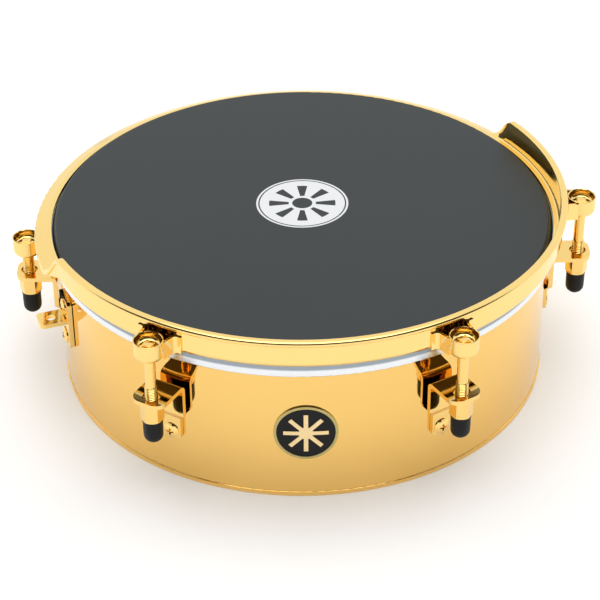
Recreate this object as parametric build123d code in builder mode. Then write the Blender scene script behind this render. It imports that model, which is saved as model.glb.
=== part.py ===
"""Single 13 inch timbale: shell, head, two-height hoop, six tension lugs, badge and mount bracket.

Millimetres, +Z up. The origin is the centre of the shell's bottom edge, and the drum stands on z = 0.
The front, with the badge, faces -Y. Angles are measured from +X, anticlockwise seen from above.
"""

import os
from math import cos, radians, sin, sqrt

from build123d import *

os.makedirs("parts", exist_ok=True)

# ---- Shell ---------------------------------------------------------------------------------------
shell_radius = 165.1          # outside, 13 inch across
shell_wall = 1.2
shell_height = 111.9          # bottom edge to the crest that carries the film
lip_proud = 0.7               # how far the bottom lip stands out of the shell
lip_height = 3.2
lip_inward = 2.2              # how far the lip is turned in from the outside face
crest_width = 3.2             # turned-in bearing edge at the top
crest_height = 3.0

# ---- Head ----------------------------------------------------------------------------------------
film_thickness = 0.5
film_flat_margin = 0.3        # flat film runs this far past the shell's outside
skirt_drop = 5.2              # film top to where its skirt hangs straight
skirt_reach = 3.2             # shell outside to the outside of the hanging skirt
film_grip = 5.6               # film depth inside the flesh hoop
flesh_height = 9.6
flesh_top_gap = 0.4           # straight skirt showing above the flesh hoop
flesh_inner_wall = 0.6
flesh_outer_wall = 2.2

# ---- Hoop ----------------------------------------------------------------------------------------
seat_gap = 0.3                # hoop above the flesh hoop
hoop_film_gap = 0.4           # base ring clear of the hanging skirt
base_height = 2.2             # base ring, bottom to top
base_round = 3.8              # round under the base ring, up into the high wall
inner_round = 1.4             # round inside, from the base ring up into the wall
rim_round = 0.8               # inner edge of the wall's top
wall_clearance = 2.1          # flesh hoop to the inside of the high wall
wall_thickness = 2.7
wall_rise = 15.0              # film to the top of the high wall
bead_proud = 2.2              # rolled bead outside the wall
bead_height = 3.8
bead_lap = 0.2                # the bead's top runs this far out over the wall
flange_reach = 4.9            # wall's outside to the outside of the low, turned-down side
flange_drop = 3.4             # base ring's top down to the flange's outer corner
lip_depth = 4.2               # flange corner down to the tip of its lip
flange_thickness = 2.3
flange_foot = 2.6             # level underside of the base ring on the low side
flange_land = 2.3             # level top of the base ring on the low side
flange_shoulder = 2.0         # rounded shoulder inside the flange's outer corner
lip_round = 0.9               # round tip of the lip
high_centre_angle = -60.3     # middle of the high wall
high_half_span = 91.2         # full height to here, on both sides
slope_span = 8.6              # the wall comes down to the flange over this angle
slope_steps = 6

# ---- Lugs ----------------------------------------------------------------------------------------
cup_clearance = 3.0           # high wall to the nearest side of a cup
lug_angles = [0, -58.7, -120, 180, 120, 60]
high_lugs = 3                 # the first three stand beside the high wall
high_cup_drop = 6.4           # top of the high wall to the rim of its cups
low_cup_drop = 17.3           # base ring's top to the rim of the low cups
high_shelf_drop = 33.9        # shell's crest to the tongues under the high wall
low_shelf_drop = 46.5         # shell's crest to the tongues under the flange

# ---- Ear cups ------------------------------------------------------------------------------------
cup_radius = 9.5
cup_height = 13.0
cup_wall = 0.9
cup_corner = 4.0
cup_rim_round = 0.3
dish_depth = 5.6
dish_round = 2.9
dish_chamfer = 0.3
wing_spread = 21.0            # between the roots of a cup's two wings
wing_root = 5.0               # length of a wing that lies against the wall
wing_bend = 3.4
wing_thickness = 1.8
web_thickness = 2.4
tab_width = 16.0
tab_thickness = 2.8
tab_inset = 1.8               # flange's outside to the outside of the hanging tab

# ---- Tension rods --------------------------------------------------------------------------------
thread_radius = 4.0           # M8
thread_pitch = 1.25
shank_undersize = 0.45        # rolled thread, so the plain shank is thinner
drive_square = 6.2
drive_round = 0.6
drive_chamfer = 0.5
head_below_rim = 2.6
collar_margin = 1.6           # collar's edge past the thread
collar_height = 1.3
collar_gap = 0.1              # collar above the dish floor
rod_hole_gap = 0.35           # rod in the cup's hole
thread_above_shelf = 8.0      # top of a tongue to the top of the thread on a high rod
rod_end_chamfer = 1.0
rod_past_nut = 7.0
rod_turns = 6                 # turns from tuned to slack

# ---- Nuts and caps -------------------------------------------------------------------------------
nut_wall = 2.5                # thread to the middle of a flat
nut_height = 13.8
nut_thread_gap = 0.05
nut_corner_cut = 0.9          # turned off the corners, across
nut_corner_drop = 0.7         # and along
cap_wall = 2.6                # thread to the outside of the cap
cap_taper = 0.4
cap_length = 17.0
cap_floor = 3.0
cap_bore_gap = 0.7            # rod inside the cap
cap_corner = 5.0

# ---- Lug brackets --------------------------------------------------------------------------------
bracket_thickness = 3.0
shelf_width = 23.0
shelf_tip = 8.2               # rod axis to the tongue's end
shelf_corner = 7.4
foot_width = 14.0
shelf_hole_gap = 1.6          # rod in the tongue's hole
strap_standoff = 2.8          # shell to the back of the strap
jog_drop = 23.9               # shelf top to the start of the inward jog
jog_height = 4.5
bracket_length = 45.0
bracket_screw_drop = 39.6
foot_round = 3.0
bend_round = 1.5              # inside of the bend under the tongue

# ---- Screws --------------------------------------------------------------------------------------
screw_head_radius = 5.6
screw_head_height = 2.1
screw_head_edge = 0.6         # straight edge under the dome
screw_radius = 2.5
screw_hole_gap = 0.25
cross_length = 5.2
cross_width = 1.3
cross_depth = 1.6
washer_radius = 6.0
washer_thickness = 1.2
inner_nut_flats = 8.0
inner_nut_height = 4.0
screw_past_nut = 1.5
washer_gap = 0.15             # a flat washer bridges the shell's curve

# ---- Mount bracket -------------------------------------------------------------------------------
mount_angle = -160.5
mount_plate_width = 22.0
mount_plate_height = 36.0
mount_plate_drop = 30.9       # shell's crest to the top of the plate
mount_tongue_drop = 15.0      # top of the plate to the top of the tongue
mount_tongue_width = 15.0
mount_tongue_length = 20.9    # shell to the tongue's end
mount_round = 3.0
mount_hole_radius = 3.3
mount_hole_reach = 12.4       # shell to the hole's axis
mount_screw_drops = [31.0, 8.5]

# ---- Badge ---------------------------------------------------------------------------------------
badge_angle = -89.6
badge_drop = 60.9             # shell's crest to the badge's centre
badge_radius = 20.4
badge_rim_width = 1.8
badge_rim_proud = 1.1
badge_plate_proud = 0.8
emblem_radius = 14.2
emblem_hub_radius = 4.6
emblem_ray_width = 2.8
emblem_rays = 8
emblem_proud = 0.4

# ---- Worked out from the sizes above ---------------------------------------------------------------
film_top = shell_height + film_thickness
skirt_radius = shell_radius + skirt_reach
flesh_top = film_top - skirt_drop - flesh_top_gap
flesh_bottom = flesh_top - flesh_height
flesh_inner_radius = skirt_radius - film_thickness - flesh_inner_wall
flesh_outer_radius = skirt_radius + flesh_outer_wall
base_bottom = flesh_top + seat_gap
base_top = base_bottom + base_height
base_inner_radius = skirt_radius + hoop_film_gap
wall_inner_radius = flesh_outer_radius + wall_clearance
wall_outer_radius = wall_inner_radius + wall_thickness
wall_top = film_top + wall_rise
bead_bottom = wall_top - bead_height
flange_radius = wall_outer_radius + flange_reach
shell_inner_radius = shell_radius - shell_wall
rod_circle = wall_outer_radius + cup_clearance + cup_radius
high_cup_top = wall_top - high_cup_drop
low_cup_top = base_top - low_cup_drop
high_shelf_top = shell_height - high_shelf_drop
low_shelf_top = shell_height - low_shelf_drop
shank_radius = thread_radius - shank_undersize
collar_radius = thread_radius + collar_margin
shelf_hole_radius = thread_radius + shelf_hole_gap
nut_across_flats = 2 * (thread_radius + nut_wall)
cap_radius = thread_radius + cap_wall
mount_plate_top = shell_height - mount_plate_drop
mount_tongue_top = mount_plate_top - mount_tongue_drop
mount_hole_circle = shell_radius + mount_hole_reach
badge_height = shell_height - badge_drop
rod_travel = rod_turns * thread_pitch
arc_middle = 1 - sqrt(0.5)    # a quarter round's middle, as a share of its radius


def radial_plane(angle):
    """Upright plane through the drum's axis: local x runs outwards, local y runs up."""
    a = radians(angle)
    return Plane(origin=(0, 0, 0), x_dir=(cos(a), sin(a), 0), z_dir=(sin(a), -cos(a), 0))


def level_plane(angle, radius, height):
    """Level plane at a place round the drum: local x runs outwards, local y runs round."""
    a = radians(angle)
    centre = (radius * cos(a), radius * sin(a), height)
    return Plane(origin=centre, x_dir=(cos(a), sin(a), 0), z_dir=(0, 0, 1))


def facing_plane(angle, radius, height):
    """Upright plane that faces away from the drum's axis: local y runs up."""
    a = radians(angle)
    centre = (radius * cos(a), radius * sin(a), height)
    return Plane(origin=centre, x_dir=(-sin(a), cos(a), 0), z_dir=(cos(a), sin(a), 0))


def upright_axis(angle, radius):
    """Vertical line at a place round the drum."""
    a = radians(angle)
    return Axis((radius * cos(a), radius * sin(a), 0), (0, 0, 1))


def write(piece, name):
    """Label a finished piece and write it to its own file."""
    piece.label = name
    export_step(piece, f"parts/{name}.step")


def screw_places():
    """Angle, height and seat radius of each bracket screw."""
    for number, angle in enumerate(lug_angles):
        shelf_top = high_shelf_top if number < high_lugs else low_shelf_top
        yield angle, shelf_top - bracket_screw_drop, shell_radius + bracket_thickness


def mount_screw_places():
    """Angle, height and seat radius of each mount screw."""
    for drop in mount_screw_drops:
        yield mount_angle, mount_plate_top - drop, shell_radius + bracket_thickness


# ---- Shell -----------------------------------------------------------------------------------------
# One turned profile: rolled lip at the bottom, thin wall, turned-in crest that carries the film.
shell_profile = [
    (shell_radius - lip_inward, 0),
    (shell_radius + lip_proud, 0),
    (shell_radius + lip_proud, lip_height),
    (shell_radius, lip_height),
    (shell_radius, shell_height),
    (shell_radius - crest_width, shell_height),
    (shell_radius - crest_width, shell_height - crest_height),
    (shell_inner_radius, shell_height - crest_height),
    (shell_inner_radius, lip_height),
    (shell_radius - lip_inward, lip_height),
]
shell_rounds = [0.6, 0.6, 0.35, 0.3, 1.3, 1.3, 0, 0, 0, 0.4]

with BuildPart() as shell:
    with BuildSketch(Plane.XZ):
        with BuildLine():
            FilletPolyline(shell_profile, radius=shell_rounds, close=True)
        make_face()
    revolve(axis=Axis.Z)
    for screw_angle, screw_height, _ in [*screw_places(), *mount_screw_places()]:
        with BuildSketch(facing_plane(screw_angle, shell_radius - lip_inward - shell_wall, screw_height)):
            Circle(screw_radius + screw_hole_gap)
        extrude(amount=lip_inward + 2 * shell_wall, mode=Mode.SUBTRACT)
write(shell.part, "shell")

# ---- Head ------------------------------------------------------------------------------------------
# The film is flat over the crest, slopes over the collar and hangs straight into the flesh hoop.
flat_edge = shell_radius + film_flat_margin
film_profile = [
    (0, film_top),
    (flat_edge, film_top),
    (skirt_radius, film_top - skirt_drop),
    (skirt_radius, flesh_top - film_grip),
    (skirt_radius - film_thickness, flesh_top - film_grip),
    (skirt_radius - film_thickness, film_top - skirt_drop - film_thickness / 2),
    (flat_edge - film_thickness / 2, shell_height),
    (0, shell_height),
]
film_rounds = [0, 1.6, 1.2, 0, 0, 0.7, 1.1, 0]

with BuildPart() as drumhead:
    with BuildSketch(Plane.XZ):
        with BuildLine():
            FilletPolyline(film_profile, radius=film_rounds, close=True)
        make_face()
    revolve(axis=Axis.Z)
write(drumhead.part, "drumhead")

flesh_profile = [
    (flesh_inner_radius, flesh_bottom),
    (flesh_outer_radius, flesh_bottom),
    (flesh_outer_radius, flesh_top),
    (skirt_radius, flesh_top),
    (skirt_radius, flesh_top - film_grip),
    (skirt_radius - film_thickness, flesh_top - film_grip),
    (skirt_radius - film_thickness, flesh_top),
    (flesh_inner_radius, flesh_top),
]
flesh_rounds = [0.8, 1.0, 0.6, 0, 0, 0, 0, 0]

with BuildPart() as flesh_hoop:
    with BuildSketch(Plane.XZ):
        with BuildLine():
            FilletPolyline(flesh_profile, radius=flesh_rounds, close=True)
        make_face()
    revolve(axis=Axis.Z)
write(flesh_hoop.part, "flesh_hoop")

# ---- Hoop ------------------------------------------------------------------------------------------
# Both cross-sections have the same corners, so the slope between them is a blend of the two.
# Each entry is a straight run's end, or the middle and end of an arc.
high_section = [
    (base_inner_radius, base_bottom),
    (wall_outer_radius - base_round, base_bottom),
    (wall_outer_radius - base_round * arc_middle, base_bottom + base_round * arc_middle),
    (wall_outer_radius, base_bottom + base_round),
    (wall_outer_radius, bead_bottom),
    (wall_outer_radius + bead_proud, bead_bottom + bead_height / 2),
    (wall_outer_radius + bead_lap, wall_top),
    (wall_inner_radius + rim_round, wall_top),
    (wall_inner_radius + rim_round * arc_middle, wall_top - rim_round * arc_middle),
    (wall_inner_radius, wall_top - rim_round),
    (wall_inner_radius, base_top + inner_round),
    (wall_inner_radius - inner_round * arc_middle, base_top + inner_round * arc_middle),
    (wall_inner_radius - inner_round, base_top),
    (base_inner_radius, base_top),
]
corner_height = base_top - flange_drop
lip_bottom = corner_height - lip_depth
lip_inner_radius = flange_radius - flange_thickness
low_section = [
    (base_inner_radius, base_bottom),
    (base_inner_radius + flange_foot, base_bottom),
    (lip_inner_radius - 1.5 * flange_shoulder, corner_height - 0.3 * flange_thickness),
    (lip_inner_radius, corner_height - flange_thickness),
    (lip_inner_radius, lip_bottom + lip_round),
    (flange_radius - flange_thickness / 2, lip_bottom),
    (flange_radius, lip_bottom + lip_round),
    (flange_radius, corner_height - 0.8 * flange_shoulder),
    (flange_radius - 0.3 * flange_shoulder, corner_height - 0.05 * flange_shoulder),
    (flange_radius - flange_shoulder, corner_height + 0.45 * flange_shoulder),
    (base_inner_radius + 1.55 * flange_land, base_top - 0.09 * flange_land),
    (base_inner_radius + 1.3 * flange_land, base_top - 0.015 * flange_land),
    (base_inner_radius + flange_land, base_top),
    (base_inner_radius, base_top),
]


def hoop_section(angle, blend):
    """The hoop's cross-section at one place: 0 is the high wall, 1 the low flange."""
    corners = []
    for (high_x, high_y), (low_x, low_y) in zip(high_section, low_section):
        corners.append((high_x + (low_x - high_x) * blend, high_y + (low_y - high_y) * blend))
    with BuildSketch(radial_plane(angle)) as section:
        with BuildLine():
            Line(corners[0], corners[1])
            for first in (1, 4, 7, 10):
                ThreePointArc(corners[first], corners[first + 1], corners[first + 2])
                Line(corners[first + 2], corners[first + 3])
            Line(corners[13], corners[0])
        make_face()
    return section.sketch


def slope_blend(step):
    """Share of the way down the slope, eased at both ends."""
    share = step / slope_steps
    return share * share * (3 - 2 * share)


high_start = high_centre_angle - high_half_span
high_end = high_centre_angle + high_half_span
low_span = 360 - 2 * (high_half_span + slope_span)

with BuildPart() as hoop:
    revolve(hoop_section(high_start, 0), axis=Axis.Z, revolution_arc=2 * high_half_span)
    revolve(hoop_section(high_end + slope_span, 1), axis=Axis.Z, revolution_arc=low_span)
    for corner_angle, direction in ((high_end, 1), (high_start, -1)):
        sections = []
        for step in range(slope_steps + 1):
            section_angle = corner_angle + direction * slope_span * step / slope_steps
            sections.append(hoop_section(section_angle, slope_blend(step)))
        loft(sections)
write(hoop.part, "hoop")


# ---- Ear cups --------------------------------------------------------------------------------------
def make_dish_cutter(angle, cup_top):
    """The hollow of a cup: a round dish over the rod's bore."""
    inside = rod_circle + cup_radius - cup_wall
    bore = rod_circle + thread_radius + rod_hole_gap
    floor = cup_top - dish_depth
    profile = [
        (rod_circle, cup_top - cup_height - 1),
        (bore, cup_top - cup_height - 1),
        (bore, floor),
        (inside, floor),
        (inside, cup_top - dish_chamfer),
        (inside + dish_chamfer, cup_top),
        (inside + dish_chamfer, cup_top + 1),
        (rod_circle, cup_top + 1),
    ]
    with BuildPart() as dish_cutter:
        with BuildSketch(radial_plane(angle)):
            with BuildLine():
                FilletPolyline(profile, radius=[0, 0, 0, dish_round, 0, 0, 0, 0], close=True)
            make_face()
        revolve(axis=upright_axis(angle, rod_circle))
    return dish_cutter.part


def make_ear_cup(number, angle, cup_top, is_high):
    """A dished cup with the webs that weld it to the hoop."""
    bottom = cup_top - cup_height
    wall_x = wall_outer_radius - rod_circle
    dish_cutter = make_dish_cutter(angle, cup_top)
    with BuildPart() as ear_cup:
        if is_high:
            # Wings that lie against the wall, bend away from it and run to the cup's flanks.
            for side in (1, -1):
                with BuildSketch(level_plane(angle, rod_circle, bottom)):
                    with BuildLine():
                        wing_path = [
                            (wall_x - wing_thickness / 4, side * (wing_spread / 2 + wing_root)),
                            (wall_x - wing_thickness / 4, side * wing_spread / 2),
                            (-cup_radius * 0.3, side * (cup_radius - wing_thickness / 2)),
                        ]
                        FilletPolyline(wing_path, radius=wing_bend)
                    trace(line_width=wing_thickness)
                extrude(amount=cup_height - 1)
            # Floor web between the wings.
            with BuildSketch(level_plane(angle, rod_circle, bottom)):
                with BuildLine():
                    Polyline(
                        (wall_x - wall_thickness, -wing_spread / 2),
                        (-cup_radius * 0.4, -cup_radius * 0.6),
                        (-cup_radius * 0.4, cup_radius * 0.6),
                        (wall_x - wall_thickness, wing_spread / 2),
                        close=True,
                    )
                make_face()
            extrude(amount=web_thickness)
        else:
            # Tab that hangs inside the flange's lip, and the neck from it to the cup.
            tab_x = flange_radius - tab_inset - tab_thickness - rod_circle
            tab_top = corner_height - flange_thickness / 3
            with BuildSketch(level_plane(angle, rod_circle, bottom + 1)):
                with Locations((tab_x + tab_thickness / 2, 0)):
                    Rectangle(tab_thickness, tab_width)
            extrude(amount=tab_top - bottom - 1)
            with BuildSketch(level_plane(angle, rod_circle, bottom + 2)):
                with Locations((tab_x / 2 - 2, 0)):
                    Rectangle(-tab_x - 4, tab_width - 4)
            extrude(amount=cup_height - 4)
        with BuildSketch(radial_plane(angle)):
            with BuildLine():
                outline = [
                    (rod_circle, bottom),
                    (rod_circle + cup_radius, bottom),
                    (rod_circle + cup_radius, cup_top),
                    (rod_circle, cup_top),
                ]
                FilletPolyline(outline, radius=[0, cup_corner, cup_rim_round, 0], close=True)
            make_face()
        revolve(axis=upright_axis(angle, rod_circle))
        add(dish_cutter, mode=Mode.SUBTRACT)
        add(hoop.part, mode=Mode.SUBTRACT)
    write(ear_cup.part, f"ear_cup_{number}")


# ---- Tension rods ----------------------------------------------------------------------------------
def make_tension_rod(number, angle, cup_top, shank_end, rod_end):
    """Square drive head, collar that bears on the dish floor, plain shank and thread."""
    collar_bottom = cup_top - dish_depth + collar_gap
    collar_top = collar_bottom + collar_height
    drive_top = cup_top - head_below_rim
    x = rod_circle
    profile = [
        (x, rod_end),
        (x + thread_radius - rod_end_chamfer, rod_end),
        (x + thread_radius, rod_end + rod_end_chamfer),
        (x + thread_radius, shank_end - shank_undersize),
        (x + shank_radius, shank_end),
        (x + shank_radius, collar_bottom),
        (x + collar_radius, collar_bottom),
        (x + collar_radius, collar_top),
        (x, collar_top),
    ]
    with BuildPart() as tension_rod:
        with BuildSketch(radial_plane(angle)):
            with BuildLine():
                Polyline(profile, close=True)
            make_face()
        revolve(axis=upright_axis(angle, rod_circle))
        with BuildSketch(level_plane(angle, rod_circle, collar_top)):
            RectangleRounded(drive_square, drive_square, drive_round)
        extrude(amount=drive_top - collar_top)
        chamfer(tension_rod.faces().sort_by(Axis.Z)[-1].edges(), drive_chamfer)
    write(tension_rod.part, f"tension_rod_{number}")


# ---- Lug brackets, nuts and caps -------------------------------------------------------------------
def make_lug_bracket(number, angle, shelf_top):
    """Bent strip: round-ended tongue, strap clear of the shell, inward jog and flush foot."""
    back = shell_radius + strap_standoff
    foot = shell_radius
    jog_start = shelf_top - jog_drop
    jog_end = jog_start - jog_height
    tip = rod_circle + shelf_tip
    thick = bracket_thickness
    profile = [
        (tip, shelf_top),
        (back, shelf_top),
        (back, jog_start),
        (foot, jog_end),
        (foot, shelf_top - bracket_length),
        (foot + thick, shelf_top - bracket_length),
        (foot + thick, jog_end + 0.6),
        (back + thick, jog_start + 0.6),
        (back + thick, shelf_top - thick),
        (tip, shelf_top - thick),
    ]
    rounds = [0, bend_round + thick, 2, 1, 0, 0.6, 2, 1, bend_round, 0]
    with BuildPart() as lug_bracket:
        with BuildSketch(radial_plane(angle)):
            with BuildLine():
                FilletPolyline(profile, radius=rounds, close=True)
            make_face()
        extrude(amount=shelf_width / 2, both=True)
        # Seen from above, the tongue's end has two large rounds.
        with BuildSketch(level_plane(angle, tip - shelf_corner, shelf_top - bracket_length)):
            Rectangle(4 * shelf_corner, 2 * shelf_width)
            RectangleRounded(2 * shelf_corner, shelf_width, shelf_corner - 0.01, mode=Mode.SUBTRACT)
            with Locations((-shelf_corner, 0)):
                Rectangle(2 * shelf_corner, 2 * shelf_width, mode=Mode.SUBTRACT)
        extrude(amount=bracket_length, mode=Mode.SUBTRACT)
        # Below the jog the strap is narrower, and its foot is rounded.
        foot_height = shelf_top - bracket_length
        with BuildSketch(facing_plane(angle, shell_radius - 1, foot_height)):
            with BuildLine():
                for side in (1, -1):
                    Polyline(
                        (side * shelf_width, -foot_round),
                        (side * shelf_width, jog_start - foot_height + 0.6),
                        (side * shelf_width / 2, jog_start - foot_height + 0.6),
                        (side * foot_width / 2, jog_end - foot_height),
                        (side * foot_width / 2, foot_round),
                    )
                    ThreePointArc(
                        (side * foot_width / 2, foot_round),
                        (side * (foot_width / 2 - foot_round * arc_middle), foot_round * arc_middle),
                        (side * (foot_width / 2 - foot_round), 0),
                    )
                Line((foot_width / 2 - foot_round, 0), (foot_round - foot_width / 2, 0))
                Line((shelf_width, -foot_round), (-shelf_width, -foot_round))
            make_face()
        extrude(amount=strap_standoff + thick + 2, mode=Mode.SUBTRACT)
        with BuildSketch(level_plane(angle, rod_circle, shelf_top - 2 * thick)):
            Circle(shelf_hole_radius)
        extrude(amount=3 * thick, mode=Mode.SUBTRACT)
        with BuildSketch(facing_plane(angle, shell_radius - 1, shelf_top - bracket_screw_drop)):
            Circle(screw_radius + screw_hole_gap)
        extrude(amount=thick + 2, mode=Mode.SUBTRACT)
    write(lug_bracket.part, f"lug_bracket_{number}")


def make_tension_nut(number, angle, nut_top):
    """Long hex nut with turned-off corners, fixed under the tongue."""
    corner_radius = nut_across_flats / sqrt(3)
    with BuildPart() as tension_nut:
        with BuildSketch(level_plane(angle, rod_circle, nut_top - nut_height)):
            RegularPolygon(nut_across_flats / 2, 6, major_radius=False)
        extrude(amount=nut_height)
        with BuildSketch(radial_plane(angle)):
            with BuildLine():
                Polyline(
                    (rod_circle, nut_top - nut_height),
                    (rod_circle + corner_radius - nut_corner_cut, nut_top - nut_height),
                    (rod_circle + corner_radius, nut_top - nut_height + nut_corner_drop),
                    (rod_circle + corner_radius, nut_top - nut_corner_drop),
                    (rod_circle + corner_radius - nut_corner_cut, nut_top),
                    (rod_circle, nut_top),
                    close=True,
                )
            make_face()
        revolve(axis=upright_axis(angle, rod_circle), mode=Mode.INTERSECT)
        with BuildSketch(level_plane(angle, rod_circle, nut_top - nut_height)):
            Circle(thread_radius + nut_thread_gap)
        extrude(amount=nut_height, mode=Mode.SUBTRACT)
    write(tension_nut.part, f"tension_nut_{number}")


def make_rubber_cap(number, angle, cap_top):
    """Soft cap over the rod's end, closed and rounded at the bottom."""
    x = rod_circle
    bottom = cap_top - cap_length
    bore = thread_radius + cap_bore_gap
    profile = [
        (x, bottom),
        (x + cap_radius - cap_taper, bottom),
        (x + cap_radius, cap_top),
        (x + bore, cap_top),
        (x + bore, bottom + cap_floor),
        (x, bottom + cap_floor),
    ]
    with BuildPart() as rubber_cap:
        with BuildSketch(radial_plane(angle)):
            with BuildLine():
                FilletPolyline(profile, radius=[0, cap_corner, 0.5, 0.4, 0.8, 0], close=True)
            make_face()
        revolve(axis=upright_axis(angle, rod_circle))
    write(rubber_cap.part, f"rubber_cap_{number}")


for number, angle in enumerate(lug_angles, start=1):
    is_high = number <= high_lugs
    cup_top = high_cup_top if is_high else low_cup_top
    shelf_top = high_shelf_top if is_high else low_shelf_top
    nut_top = shelf_top - bracket_thickness
    nut_bottom = nut_top - nut_height
    shank_end = shelf_top + thread_above_shelf if is_high else cup_top - cup_height
    make_ear_cup(number, angle, cup_top, is_high)
    make_tension_rod(number, angle, cup_top, shank_end, nut_bottom - rod_past_nut)
    make_lug_bracket(number, angle, shelf_top)
    make_tension_nut(number, angle, nut_top)
    make_rubber_cap(number, angle, nut_bottom)


# ---- Screws, washers and inner nuts ----------------------------------------------------------------
def make_screws(name, places):
    """Truss-head screws with a cross recess, one solid each."""
    with BuildPart() as screws:
        for angle, height, seat in places:
            tip = shell_inner_radius - washer_gap - washer_thickness - inner_nut_height - screw_past_nut
            with BuildSketch(facing_plane(angle, tip, height)):
                Circle(screw_radius)
            extrude(amount=seat - tip)
            # The head is a shallow dome turned about the screw's own axis.
            a = radians(angle)
            side = Plane(origin=(0, 0, height), x_dir=(cos(a), sin(a), 0), z_dir=(sin(a), -cos(a), 0))
            with BuildSketch(side):
                with BuildLine():
                    Line((seat, 0), (seat + screw_head_height, 0))
                    ThreePointArc(
                        (seat + screw_head_height, 0),
                        (seat + screw_head_height * 0.8, screw_head_radius * 0.55),
                        (seat + screw_head_edge, screw_head_radius),
                    )
                    Polyline(
                        (seat + screw_head_edge, screw_head_radius),
                        (seat, screw_head_radius),
                        (seat, 0),
                    )
                make_face()
            revolve(axis=Axis((0, 0, height), (cos(a), sin(a), 0)))
            with BuildSketch(facing_plane(angle, seat + screw_head_height - cross_depth, height)):
                Rectangle(cross_length, cross_width)
                Rectangle(cross_width, cross_length)
            extrude(amount=cross_depth + 1, mode=Mode.SUBTRACT)
    write(screws.part, name)


def make_washers(name, places):
    """Flat washers against the inside of the shell."""
    with BuildPart() as washers:
        for angle, height, _ in places:
            back = shell_inner_radius - washer_gap - washer_thickness
            with BuildSketch(facing_plane(angle, back, height)):
                Circle(washer_radius)
                Circle(screw_radius + screw_hole_gap, mode=Mode.SUBTRACT)
            extrude(amount=washer_thickness)
    write(washers.part, name)


def make_inner_nuts(name, places):
    """Hex nuts that clamp the brackets from inside the shell."""
    with BuildPart() as inner_nuts:
        for angle, height, _ in places:
            back = shell_inner_radius - washer_gap - washer_thickness - inner_nut_height
            with BuildSketch(facing_plane(angle, back, height)):
                RegularPolygon(inner_nut_flats / 2, 6, major_radius=False)
                Circle(screw_radius + nut_thread_gap, mode=Mode.SUBTRACT)
            extrude(amount=inner_nut_height)
    write(inner_nuts.part, name)


make_screws("bracket_screws", list(screw_places()))
make_washers("bracket_washers", list(screw_places()))
make_inner_nuts("bracket_nuts", list(screw_places()))
make_screws("mount_screws", list(mount_screw_places()))
make_washers("mount_washers", list(mount_screw_places()))
make_inner_nuts("mount_nuts", list(mount_screw_places()))

# ---- Mount bracket ---------------------------------------------------------------------------------
with BuildPart() as mount_bracket:
    with BuildSketch(facing_plane(mount_angle, shell_radius, mount_plate_top - mount_plate_height / 2)):
        RectangleRounded(mount_plate_width, mount_plate_height, mount_round)
    extrude(amount=bracket_thickness)
    with BuildSketch(level_plane(mount_angle, shell_radius, mount_tongue_top - bracket_thickness)):
        with Locations((mount_tongue_length / 2, 0)):
            Rectangle(mount_tongue_length, mount_tongue_width)
    extrude(amount=bracket_thickness)
    tongue_corners = mount_bracket.edges().filter_by(Axis.Z).sort_by(
        lambda edge: edge.center().X ** 2 + edge.center().Y ** 2
    )[-2:]
    fillet(tongue_corners, mount_round)
    with BuildSketch(level_plane(mount_angle, mount_hole_circle, mount_tongue_top - 2 * bracket_thickness)):
        Circle(mount_hole_radius)
    extrude(amount=3 * bracket_thickness, mode=Mode.SUBTRACT)
    for _, screw_height, _ in mount_screw_places():
        with BuildSketch(facing_plane(mount_angle, shell_radius - 1, screw_height)):
            Circle(screw_radius + screw_hole_gap)
        extrude(amount=bracket_thickness + 2, mode=Mode.SUBTRACT)
write(mount_bracket.part, "mount_bracket")


# ---- Badge -----------------------------------------------------------------------------------------
def badge_band(inner, outer):
    """Upright band on the shell, from which the badge's discs are cut."""
    with BuildPart() as band:
        with BuildSketch(Plane.XY.offset(badge_height - badge_radius)):
            Circle(outer)
            Circle(inner, mode=Mode.SUBTRACT)
        extrude(amount=2 * badge_radius)
    return band.part


badge_plane = facing_plane(badge_angle, shell_radius - 5, badge_height)
badge_face_radius = badge_radius - badge_rim_width

with BuildPart() as badge_rim:
    add(badge_band(shell_radius, shell_radius + badge_rim_proud))
    with BuildSketch(badge_plane):
        Circle(badge_radius)
        Circle(badge_face_radius, mode=Mode.SUBTRACT)
    extrude(amount=20, mode=Mode.INTERSECT)
write(badge_rim.part, "badge_rim")

with BuildPart() as badge_plate:
    add(badge_band(shell_radius, shell_radius + badge_plate_proud))
    with BuildSketch(badge_plane):
        Circle(badge_face_radius)
    extrude(amount=20, mode=Mode.INTERSECT)
write(badge_plate.part, "badge_plate")

# A plain sun: a round hub and straight rays.
with BuildPart() as badge_emblem:
    add(badge_band(shell_radius + badge_plate_proud, shell_radius + badge_plate_proud + emblem_proud))
    with BuildSketch(badge_plane):
        Circle(emblem_hub_radius)
        with PolarLocations(0, emblem_rays):
            with Locations((emblem_radius / 2, 0)):
                Rectangle(emblem_radius, emblem_ray_width)
    extrude(amount=20, mode=Mode.INTERSECT)
write(badge_emblem.part, "badge_emblem")

print("rod travel over its turns:", round(rod_travel, 3), "mm")
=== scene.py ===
# %% [markdown]
# # A single timbale, from its frame to its finish
#
# A timbale is a shallow metal drum with one head. A pressed rim, the hoop, pulls the head down over
# the shell. This one has a hoop with two heights: a high wall that is struck for rim shots, and a low,
# turned-down side where the hand comes in. Six threaded rods pull the hoop down.
#
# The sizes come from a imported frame: every measured part is already in place, in metres. This script
# gives those parts their finish, and it builds the pieces that need finer work than the frame holds.

# %% Load the frame
import math

import bmesh
import bpy
from mathutils import Matrix, Vector


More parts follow.
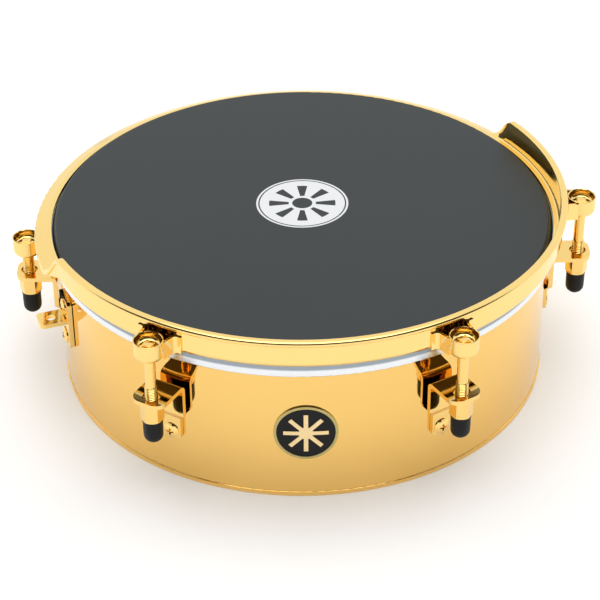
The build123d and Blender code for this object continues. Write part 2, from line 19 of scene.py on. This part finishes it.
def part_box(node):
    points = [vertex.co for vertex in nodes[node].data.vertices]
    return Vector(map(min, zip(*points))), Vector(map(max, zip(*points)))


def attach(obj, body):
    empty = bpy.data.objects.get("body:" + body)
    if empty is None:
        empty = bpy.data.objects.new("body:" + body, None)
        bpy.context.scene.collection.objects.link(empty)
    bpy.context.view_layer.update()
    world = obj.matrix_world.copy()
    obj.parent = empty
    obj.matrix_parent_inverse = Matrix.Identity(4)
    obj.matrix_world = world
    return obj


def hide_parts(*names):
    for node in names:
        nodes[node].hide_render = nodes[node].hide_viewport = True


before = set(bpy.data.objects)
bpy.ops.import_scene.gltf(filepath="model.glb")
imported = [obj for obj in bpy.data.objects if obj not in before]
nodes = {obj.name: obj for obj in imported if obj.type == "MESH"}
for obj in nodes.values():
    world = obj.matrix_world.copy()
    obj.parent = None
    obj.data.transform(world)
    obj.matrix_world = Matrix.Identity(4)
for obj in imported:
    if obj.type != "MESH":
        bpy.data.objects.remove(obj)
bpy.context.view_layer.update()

MM = 0.001
print("parts in the frame:", len(nodes))

# %% [markdown]
# ## The camera
#
# A long lens from about a metre and a half away keeps the drum's ellipses calm. The camera stands in
# front of the badge, a third of a right angle above the floor, and aims at the middle of the shell.
# A small lens shift places the drum in the picture without tilting the view.

# %% Place the camera
AIM = Vector((0, 0, 0.055))
DISTANCE = 1.380
ELEVATION = math.radians(33.75)
ROLL = -0.008

camera_data = bpy.data.cameras.new("studio_camera")
camera_data.lens = 120
camera_data.sensor_width = 36
camera_data.shift_x = -0.0048
camera_data.shift_y = -0.034
camera = bpy.data.objects.new("studio_camera", camera_data)
bpy.context.scene.collection.objects.link(camera)
offset = Vector((0, -math.cos(ELEVATION), math.sin(ELEVATION))) * DISTANCE
turn = (-offset).to_track_quat("-Z", "Y").to_matrix().to_4x4()
camera.matrix_world = Matrix.Translation(AIM + offset) @ turn @ Matrix.Rotation(ROLL, 4, "Z")
bpy.context.scene.camera = camera
print("camera height, mm:", round(camera.matrix_world.translation.z / MM))

# %% [markdown]
# ## Shader sums as plain expressions
#
# A finish is a small calculation that runs at every point of a surface. Blender stores it as nodes.
# `Signal` wraps one node's output, so that `0.05 + 0.1 * smudge` writes itself as Math nodes. Every
# other node comes from `Graph.node`, which takes the node's type, its settings and its inputs. The room
# around the drum is lit by a graph of the same kind.


# %% A signal and a graph of nodes
class Signal:
    """One shader value. Arithmetic on it adds Math nodes."""

    def __init__(self, graph, socket):
        self.graph = graph
        self.socket = socket

    def _sum(self, operation, first, second):
        return self.graph.node("ShaderNodeMath", {"operation": operation}, {0: first, 1: second})

    def __add__(self, other):
        return self._sum("ADD", self, other)

    def __sub__(self, other):
        return self._sum("SUBTRACT", self, other)

    def __rsub__(self, other):
        return self._sum("SUBTRACT", other, self)

    def __mul__(self, other):
        return self._sum("MULTIPLY", self, other)

    def __pow__(self, other):
        return self._sum("POWER", self, other)

    def __lt__(self, other):
        return self._sum("LESS_THAN", self, other)

    def __gt__(self, other):
        return self._sum("GREATER_THAN", self, other)

    __radd__ = __add__
    __rmul__ = __mul__


class Graph:
    """The node tree of a material or of the world."""

    def __init__(self, tree):
        self.tree = tree

    def node(self, kind, settings=None, inputs=None, output=0):
        """Add a node: settings first, then the values or links of its sockets."""
        made = self.tree.nodes.new(kind)
        for key, value in (settings or {}).items():
            if key == "stops":
                self._fill_ramp(made.color_ramp, value)
            else:
                setattr(made, key, value)
        for key, value in (inputs or {}).items():
            self.connect(made.inputs[key], value)
        return Signal(self, made.outputs[output])

    def _fill_ramp(self, ramp, stops):
        while len(ramp.elements) < len(stops):
            ramp.elements.new(0.5)
        for element, (place, colour) in zip(ramp.elements, stops):
            element.position = place
            element.color = (*colour, 1)

    def connect(self, socket, value):
        if isinstance(value, Signal):
            self.tree.links.new(value.socket, socket)
        else:
            socket.default_value = value

    def place(self, output="Object"):
        """Object coordinates, which are metres in the frame."""
        return self.node("ShaderNodeTexCoord", output=output)

    def part_of(self, vector, letter):
        return self.node("ShaderNodeSeparateXYZ", inputs={0: vector}, output="XYZ".index(letter))

    def noise(self, scale, detail=3.0, roughness=0.5, where=None):
        inputs = {"Vector": where or self.place(), "Scale": scale, "Detail": detail}
        return self.node("ShaderNodeTexNoise", inputs={**inputs, "Roughness": roughness})

    def mapped(self, scale=(1, 1, 1), shift=(0, 0, 0)):
        """Object coordinates moved, then stretched on each axis."""
        centred = self.node("ShaderNodeVectorMath", {"operation": "ADD"}, {0: self.place(), 1: shift})
        return self.node("ShaderNodeMapping", inputs={"Vector": centred, "Scale": scale})

    def ramp(self, signal, stops):
        return self.node("ShaderNodeValToRGB", {"stops": stops}, {"Fac": signal})

    def mix(self, share, first, second):
        """Mix two colours, given as three numbers or as signals."""
        colours = [c if isinstance(c, Signal) else (*c, 1) for c in (first, second)]
        inputs = {0: share, 6: colours[0], 7: colours[1]}
        return self.node("ShaderNodeMix", {"data_type": "RGBA"}, inputs, 2)


class Finish(Graph):
    """A material under construction, named after the finish it gives."""

    def __init__(self, name, **constants):
        self.material = bpy.data.materials.new(name)
        self.material.use_nodes = True
        super().__init__(self.material.node_tree)
        self.shader = self.tree.nodes["Principled BSDF"]
        self.set(**constants)

    def set(self, **values):
        """Set the shader's own sockets: base_color is Base Color, and so on."""
        for key, value in values.items():
            name = key.replace("_", " ").title().replace("Ior", "IOR")
            if name.endswith("Color") and not isinstance(value, Signal):
                value = (*value, 1)
            self.connect(self.shader.inputs[name], value)
        return self

    def bump(self, height, depth, strength=1.0):
        inputs = {"Height": height, "Distance": depth, "Strength": strength}
        self.connect(self.shader.inputs["Normal"], self.node("ShaderNodeBump", inputs=inputs))


# %% [markdown]
# ## Gold plating
#
# The shell, the hoop and all the hardware are steel with a thin, pale gold plating. Polished metal has
# hardly any colour of its own in a picture: it shows the room. What makes it believable is where it is
# not quite perfect. The plating's tint drifts a little, wiped fingerprints blur some reflections more
# than others, and a pressed or rolled sheet is never perfectly flat.
#
# One function makes every gold, because they differ only in tint, blur and waviness.

# %% Gold finishes
PALE_GOLD = (0.975, 0.712, 0.262)
DEEP_GOLD = (0.895, 0.560, 0.165)


def gold(name, deep, blur, smudge, wave, wave_scale, grain=(1, 1, 1)):
    """Gold plating: deep is how far its tint goes from the pale to the deep one."""
    finish = Finish(name, metallic=1.0)
    drift = finish.noise(9.0, detail=2.0)
    finish.set(base_color=finish.mix(deep + 0.3 * (drift - 0.5), PALE_GOLD, DEEP_GOLD))
    wiped = finish.noise(55.0, detail=5.0, roughness=0.6, where=finish.mapped(grain))
    fine = finish.noise(900.0, detail=2.0)
    finish.set(roughness=blur + smudge * (wiped ** 3) + 0.02 * fine)
    rolled = finish.noise(wave_scale, detail=2.0)
    finish.bump(rolled + 0.02 * fine, wave)
    return finish.material


shell_gold = gold("polished_shell_gold", 0.80, 0.030, 0.12, 0.00010, 11.0, grain=(1, 1, 0.3))
hoop_gold = gold("pressed_hoop_gold", 0.05, 0.055, 0.12, 0.00005, 40.0)
bracket_gold = gold("bent_strip_gold", 0.40, 0.045, 0.12, 0.00003, 70.0)
cup_gold = gold("pressed_cup_gold", 0.12, 0.045, 0.10, 0.00002, 120.0)
turned_gold = gold("turned_gold", 0.35, 0.050, 0.10, 0.00001, 150.0, grain=(1, 1, 4))
nut_gold = gold("milled_nut_gold", 0.45, 0.060, 0.10, 0.00001, 150.0)
print("gold finishes:", 6)

# %% [markdown]
# ## Bare aluminium
#
# The flesh hoop is a channel of bare aluminium, rolled from strip, and the film's edge is crimped into
# it. Rolling leaves fine lines that run round the hoop, so the noise is squeezed along the height
# and stretched along the other two directions. The upper half, in the crevice under the gold hoop,
# looks darker on the real drum. A greyer tint by height stands for that dim reflection.


# %% Rolled aluminium
def rolled_aluminium():
    finish = Finish("rolled_aluminium", metallic=1.0)
    lines = finish.noise(350.0, detail=2.0, where=finish.mapped((0.05, 0.05, 1)))
    cloud = finish.noise(25.0)
    bright = finish.mix(cloud, (0.86, 0.89, 0.92), (0.78, 0.81, 0.84))
    low, high = (corner[2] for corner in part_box("flesh_hoop"))
    height = (finish.part_of(finish.place(), "Z") - low) * (1 / (high - low))
    crevice = finish.ramp(height + 0.06 * cloud, [(0.50, (0, 0, 0)), (0.62, (1, 1, 1))])
    finish.set(base_color=finish.mix(finish.part_of(crevice, "X"), bright, (0.32, 0.37, 0.41)))
    finish.set(roughness=0.16 + 0.12 * lines + 0.05 * cloud)
    finish.bump(lines, 0.00002)
    return finish.material


aluminium = rolled_aluminium()

# %% [markdown]
# ## The head and its print
#
# The head is a dark grey polyester film. A faint tooth gives it a satin look, and a slow cloud of noise
# keeps its tint and gloss from being quite even. A pale disc is screen-printed on it. A maker would put
# a name there, so this one carries a plain sun instead: a hub and eight rays, which widen outwards.
#
# The print has no thickness worth modelling. It is drawn in the finish, from the distance and the
# direction of each point from the disc's middle.

# %% Head film
PRINT_CENTRE = (0.0, 0.0075)
PRINT_RADIUS = 0.0312
SUN_HUB = 0.0068
SUN_RAYS = 8
SUN_REACH = 0.0225


def head_film():
    finish = Finish("satin_head_film", ior=1.45)
    shift = (-PRINT_CENTRE[0], -PRINT_CENTRE[1], 0)
    centred = finish.mapped(scale=(1, 1, 0), shift=shift)
    away = finish.node("ShaderNodeVectorMath", {"operation": "LENGTH"}, {0: centred}, "Value")
    across, along = (finish.part_of(centred, letter) for letter in "XY")
    turn = finish.node("ShaderNodeMath", {"operation": "ARCTAN2"}, {0: along, 1: across})
    wheel = finish.node("ShaderNodeMath", {"operation": "COSINE"}, {0: SUN_RAYS * turn})
    rays = (wheel > 0.30) * (away > SUN_HUB * 1.35) * (away < SUN_REACH)
    edge = (away > PRINT_RADIUS * 0.925) * (away < PRINT_RADIUS * 0.955)
    sun = rays + (away < SUN_HUB) + edge
    printed = (away < PRINT_RADIUS) * (1 - sun)

    tooth = finish.noise(1500.0, detail=2.0)
    cloud = finish.noise(10.0, detail=4.0)
    ink = finish.noise(400.0, detail=3.0)
    film = finish.mix(cloud, (0.010, 0.016, 0.017), (0.018, 0.025, 0.026))
    paint = finish.mix(ink, (0.78, 0.80, 0.81), (0.86, 0.87, 0.88))
    finish.set(base_color=finish.mix(printed, film, paint))
    finish.set(roughness=0.36 + 0.08 * cloud + 0.05 * tooth + 0.10 * printed)
    finish.bump(tooth + 0.5 * cloud + 0.8 * printed, 0.00003)
    return finish.material


film = head_film()
print("print, mm across:", round(2 * PRINT_RADIUS / MM, 1))

# %% [markdown]
# ## Rubber, enamel, brass and zinc
#
# The caps are moulded rubber, dull, with a grey bloom. The badge is a brass stamping with a darker rim,
# and its sunk face is filled with black enamel. Inside the shell the screws end in plain zinc-plated
# washers and nuts, which nobody polishes.


# %% Finishes that are not gold
def moulded_rubber():
    finish = Finish("moulded_rubber", specular_ior_level=0.22)
    grain = finish.noise(1200.0, detail=3.0)
    bloom = finish.noise(90.0, detail=3.0)
    finish.set(base_color=finish.mix(bloom, (0.003, 0.003, 0.004), (0.009, 0.009, 0.010)))
    finish.set(roughness=0.36 + 0.2 * bloom)
    finish.bump(grain, 0.00003)
    return finish.material


def black_enamel():
    finish = Finish("black_enamel", specular_ior_level=0.2)
    orange_peel = finish.noise(600.0, detail=1.0)
    dust = finish.noise(150.0, detail=4.0)
    finish.set(base_color=finish.mix(dust, (0.006, 0.006, 0.007), (0.012, 0.012, 0.012)))
    finish.set(roughness=0.30 + 0.15 * dust)
    finish.bump(orange_peel, 0.00001)
    return finish.material


def stamped_brass(name, bright, dull, blur):
    finish = Finish(name, metallic=1.0)
    patina = finish.noise(220.0, detail=4.0)
    finish.set(base_color=finish.mix(patina, bright, dull))
    finish.set(roughness=blur + 0.2 * patina)
    finish.bump(patina, 0.00002)
    return finish.material


def zinc_plating():
    finish = Finish("zinc_plating", metallic=1.0)
    grain = finish.noise(500.0, detail=3.0)
    finish.set(base_color=finish.mix(grain, (0.50, 0.51, 0.53), (0.66, 0.67, 0.68)))
    finish.set(roughness=0.30 + 0.15 * grain)
    finish.bump(grain, 0.00001)
    return finish.material


rubber = moulded_rubber()
enamel = black_enamel()
rim_brass = stamped_brass("aged_rim_brass", (0.42, 0.34, 0.12), (0.60, 0.50, 0.22), 0.24)
emblem_brass = stamped_brass("bright_emblem_brass", (0.95, 0.74, 0.42), (0.88, 0.66, 0.34), 0.20)
zinc = zinc_plating()

# %% Give each part in the frame its finish
FINISH_OF = {
    "shell": shell_gold,
    "hoop": hoop_gold,
    "drumhead": film,
    "flesh_hoop": aluminium,
    "ear_cup": cup_gold,
    "tension_rod": turned_gold,
    "tension_nut": nut_gold,
    "lug_bracket": bracket_gold,
    "mount_bracket": bracket_gold,
    "bracket_screws": turned_gold,
    "mount_screws": turned_gold,
    "rubber_cap": rubber,
    "badge_plate": enamel,
    "badge_rim": rim_brass,
    "badge_emblem": emblem_brass,
    "bracket_washers": zinc,
    "bracket_nuts": zinc,
    "mount_washers": zinc,
    "mount_nuts": zinc,
}
for name, part in nodes.items():
    family = name.rstrip("0123456789").rstrip("_")
    part.material_slots[0].material = FINISH_OF[family]
print("finishes in use:", len(set(FINISH_OF.values())))

# %% [markdown]
# ## Pieces from operators
#
# The frame's own meshes are right for the big pressed parts. Small hardware needs more: a real thread,
# rounds that catch the light, a lip on a cap. Three helpers make nearly all of it.
#
# - `turned` works like a lathe. It draws half of a section as one face, rounds the corners that are
#   named, throws the face away and spins its outline round an upright axis.
# - `add_thread` spins one tooth of a thread, and lifts it a little at each step.
# - `finish_piece` closes a shape, shades it and puts it on the body that it moves with.


# %% Helpers for pieces
LUGS = range(1, 7)
ROUND = 2 * math.pi


def middle_of(node):
    """The upright axis through a part, and the heights of its two ends."""
    low, high = (Vector(corner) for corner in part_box(node))
    centre = (low + high) / 2
    return Vector((centre.x, centre.y, 0)), low.z, high.z


def bevel(shape, geom, width, segments=3, affect="EDGES"):
    options = {"profile": 0.5, "material": -1, "clamp_overlap": True}
    return bmesh.ops.bevel(
        shape, geom=geom, offset=width, segments=segments, affect=affect, **options
    )


def turned(shape, outline, centre, rounds=None, steps=64):
    """Spin an outline of (radius, height) points, with some corners rounded first."""
    lathe = bmesh.new()
    corners = [lathe.verts.new((centre.x + radius, centre.y, height)) for radius, height in outline]
    lathe.faces.new(corners)
    for index, radius in (rounds or {}).items():
        bevel(lathe, [corners[index]], radius, segments=5, affect="VERTICES")
    bmesh.ops.delete(lathe, geom=list(lathe.faces), context="FACES_ONLY")
    on_axis = [e for e in lathe.edges if all(abs(v.co.x - centre.x) < 1e-7 for v in e.verts)]
    bmesh.ops.delete(lathe, geom=on_axis, context="EDGES")
    bmesh.ops.spin(
        lathe,
        geom=list(lathe.verts) + list(lathe.edges),
        cent=(centre.x, centre.y, 0),
        axis=(0, 0, 1),
        angle=ROUND,
        steps=steps,
        use_merge=True,
    )
    join(shape, lathe)


def join(shape, other):
    """Add a finished shape to another one."""
    carrier = bpy.data.meshes.new("carrier")
    other.to_mesh(carrier)
    other.free()
    shape.from_mesh(carrier)
    bpy.data.meshes.remove(carrier)


def finish_piece(shape, name, body, material, sharp=35):
    """Close a shape, shade it and put it on its body."""
    bmesh.ops.remove_doubles(shape, verts=shape.verts, dist=2e-6)
    bmesh.ops.recalc_face_normals(shape, faces=shape.faces)
    for face in shape.faces:
        face.smooth = True
    mesh = bpy.data.meshes.new(name)
    shape.to_mesh(mesh)
    shape.free()
    mesh.set_sharp_from_angle(angle=math.radians(sharp))
    mesh.materials.append(material)
    piece = bpy.data.objects.new(name, mesh)
    bpy.context.scene.collection.objects.link(piece)
    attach(piece, body)
    return piece


# %% [markdown]
# ## Tension rods
#
# A tension rod is a long square-headed bolt. Its thread is rolled, not cut: the metal that leaves the
# grooves goes into the crests, so the thread is thicker than the plain shank above it. The collar bears
# on the floor of the ear cup, and the square drive takes a drum key.
#
# The thread could be faked with stripes in a bump map. Seen from the side, though, its outline would stay
# straight, so the real helix is made. One tooth is spun, 24 steps to a turn, with a lift of a pitch for
# each turn. Each turn's top edge then lies on the next one's bottom edge, and merging closes the surface.

# %% Thread sizes
PITCH = 1.25 * MM
CREST = 4.0 * MM
ROOT = 3.39 * MM
SHANK = 3.55 * MM
TOOTH = [(ROOT, 0.06), (CREST, 0.42), (CREST, 0.58), (ROOT, 0.94)]
STEPS_PER_TURN = 24


def add_thread(shape, centre, bottom, top):
    """A rolled thread between two heights, closed at both ends."""
    before = set(shape.faces)
    start = bottom - PITCH
    points = [(radius, start + share * PITCH) for radius, share in TOOTH]
    points.append((ROOT, start + (TOOTH[0][1] + 1) * PITCH))
    verts = [shape.verts.new((centre.x + radius, centre.y, z)) for radius, z in points]
    edges = [shape.edges.new(pair) for pair in zip(verts, verts[1:])]
    turns = math.ceil((top - start) / PITCH) + 1
    bmesh.ops.spin(
        shape,
        geom=verts + edges,
        cent=(centre.x, centre.y, 0),
        axis=(0, 0, 1),
        dvec=(0, 0, PITCH / STEPS_PER_TURN),
        angle=ROUND * turns,
        steps=STEPS_PER_TURN * turns,
    )
    made = [face for face in shape.faces if face not in before]
    bmesh.ops.remove_doubles(shape, verts=list({v for f in made for v in f.verts}), dist=2e-5)
    for height, up in ((top, 1), (bottom, -1)):
        made = [face for face in shape.faces if face not in before]
        geom = list({v for f in made for v in f.verts}) + list({e for f in made for e in f.edges}) + made
        bmesh.ops.bisect_plane(
            shape, geom=geom, plane_co=(0, 0, height), plane_no=(0, 0, up), clear_outer=True
        )
    rims = [edge for edge in shape.edges if edge.is_boundary]
    bmesh.ops.holes_fill(shape, edges=rims, sides=0)


# %% Build the rods
COLLAR = 5.6 * MM
COLLAR_HEIGHT = 1.3 * MM
DRIVE = 6.2 * MM
DRIVE_HEIGHT = 1.7 * MM
THREAD_LENGTH = {"high": 31.8 * MM, "low": 37.4 * MM}

for lug in LUGS:
    centre, bottom, top = middle_of(f"tension_rod_{lug}")
    thread_top = bottom + THREAD_LENGTH["high" if lug <= 3 else "low"]
    collar_top = top - DRIVE_HEIGHT
    collar_bottom = collar_top - COLLAR_HEIGHT
    shape = bmesh.new()
    add_thread(shape, centre, bottom, thread_top)
    body_outline = [
        (0, thread_top - PITCH / 4),
        (SHANK, thread_top - PITCH / 4),
        (SHANK, collar_bottom),
        (COLLAR, collar_bottom),
        (COLLAR, collar_top),
        (0, collar_top),
    ]
    turned(shape, body_outline, centre, rounds={4: 0.4 * MM}, steps=48)
    outwards = Matrix.Rotation(math.atan2(centre.y, centre.x), 4, "Z")
    size = Matrix.Diagonal((DRIVE, DRIVE, DRIVE_HEIGHT + MM / 2, 1))
    at = Matrix.Translation((centre.x, centre.y, top - (DRIVE_HEIGHT + MM / 2) / 2))
    drive = bmesh.ops.create_cube(shape, size=1, matrix=at @ outwards @ size)["verts"]
    bevel(shape, list({edge for vert in drive for edge in vert.link_edges}), 0.5 * MM)
    rod = finish_piece(shape, f"threaded_rod_{lug}", f"rod_{lug}", turned_gold)
    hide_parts(f"tension_rod_{lug}")
print("rod faces:", len(rod.data.polygons))

# %% [markdown]
# ## Rubber caps
#
# The caps keep the rod ends from scratching anything that the drum is packed with. They are moulded with
# a thin lip at the mouth and a round bottom, and they bulge a little where the rod stretches them.

# %% Build the caps
for lug in LUGS:
    centre, bottom, top = middle_of(f"rubber_cap_{lug}")
    shape = bmesh.new()
    outline = [
        (0, bottom),
        (6.15 * MM, bottom),
        (6.35 * MM, top - 6.0 * MM),
        (6.25 * MM, top - 1.6 * MM),
        (6.60 * MM, top - 1.5 * MM),
        (6.60 * MM, top),
        (4.70 * MM, top),
        (4.70 * MM, bottom + 3.0 * MM),
        (0, bottom + 3.0 * MM),
    ]
    turned(shape, outline, centre, rounds={1: 5.2 * MM, 4: 0.15 * MM, 5: 0.4 * MM}, steps=48)
    cap = finish_piece(shape, f"end_cap_{lug}", "drum", rubber, sharp=50)
    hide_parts(f"rubber_cap_{lug}")
print("cap faces:", len(cap.data.polygons))

# %% [markdown]
# ## The stage
#
# Polished metal needs something to reflect. The floor is pale and wide, so the shell picks up a clean
# bright sweep from it. Above, the light is soft. The near half of the room has a dark band between
# floor and ceiling. The small level faces mirror it by way of the shell, which turns them brown and
# gives the gold its contrast.

# %% Floor
floor_shape = bmesh.new()
bmesh.ops.create_grid(floor_shape, x_segments=1, y_segments=1, size=12.0)
floor_mesh = bpy.data.meshes.new("floor")
floor_shape.to_mesh(floor_mesh)
floor_shape.free()
floor = bpy.data.objects.new("floor", floor_mesh)
bpy.context.scene.collection.objects.link(floor)
floor_paint = Finish("pale_floor", roughness=0.9, specular_ior_level=0.0)
floor_paint.set(base_color=(0.93, 0.93, 0.93))
floor_paint.set(emission_color=(1, 1, 1), emission_strength=0.20)
floor_mesh.materials.append(floor_paint.material)

# %% Light
LIT = (1.0, 1.0, 1.0)
DARK = (0.06, 0.05, 0.04)
BLACK = (0, 0, 0)
WHITE = (1, 1, 1)

world = bpy.data.worlds.new("studio")
bpy.context.scene.world = world
world.use_nodes = True
room = Graph(world.node_tree)
toward = room.place("Generated")
band = [(0.10, BLACK), (0.24, WHITE), (0.78, WHITE), (0.90, BLACK)]
dark_height = room.ramp(room.part_of(toward, "Z"), band)
dark_side = room.ramp(0.12 - room.part_of(toward, "Y"), [(0.0, BLACK), (0.18, WHITE)])
shade = room.mix(1.0, dark_height, dark_side)
shade.socket.node.blend_type = "MULTIPLY"
backdrop = world.node_tree.nodes["Background"]
room.connect(backdrop.inputs["Color"], room.mix(room.part_of(shade, "X"), LIT, DARK))


def softbox(name, where, size, power):
    """A square area light that faces the drum."""
    data = bpy.data.lights.new(name, "AREA")
    data.shape = "SQUARE"
    data.size = size
    data.energy = power
    lamp = bpy.data.objects.new(name, data)
    bpy.context.scene.collection.objects.link(lamp)
    turned_down = (Vector(AIM) - Vector(where)).to_track_quat("-Z", "Y").to_matrix().to_4x4()
    lamp.matrix_world = Matrix.Translation(where) @ turned_down


softbox("overhead_softbox", (0, -0.2, 2.6), 2.4, 30)
bpy.context.scene.view_settings.view_transform = "Standard"
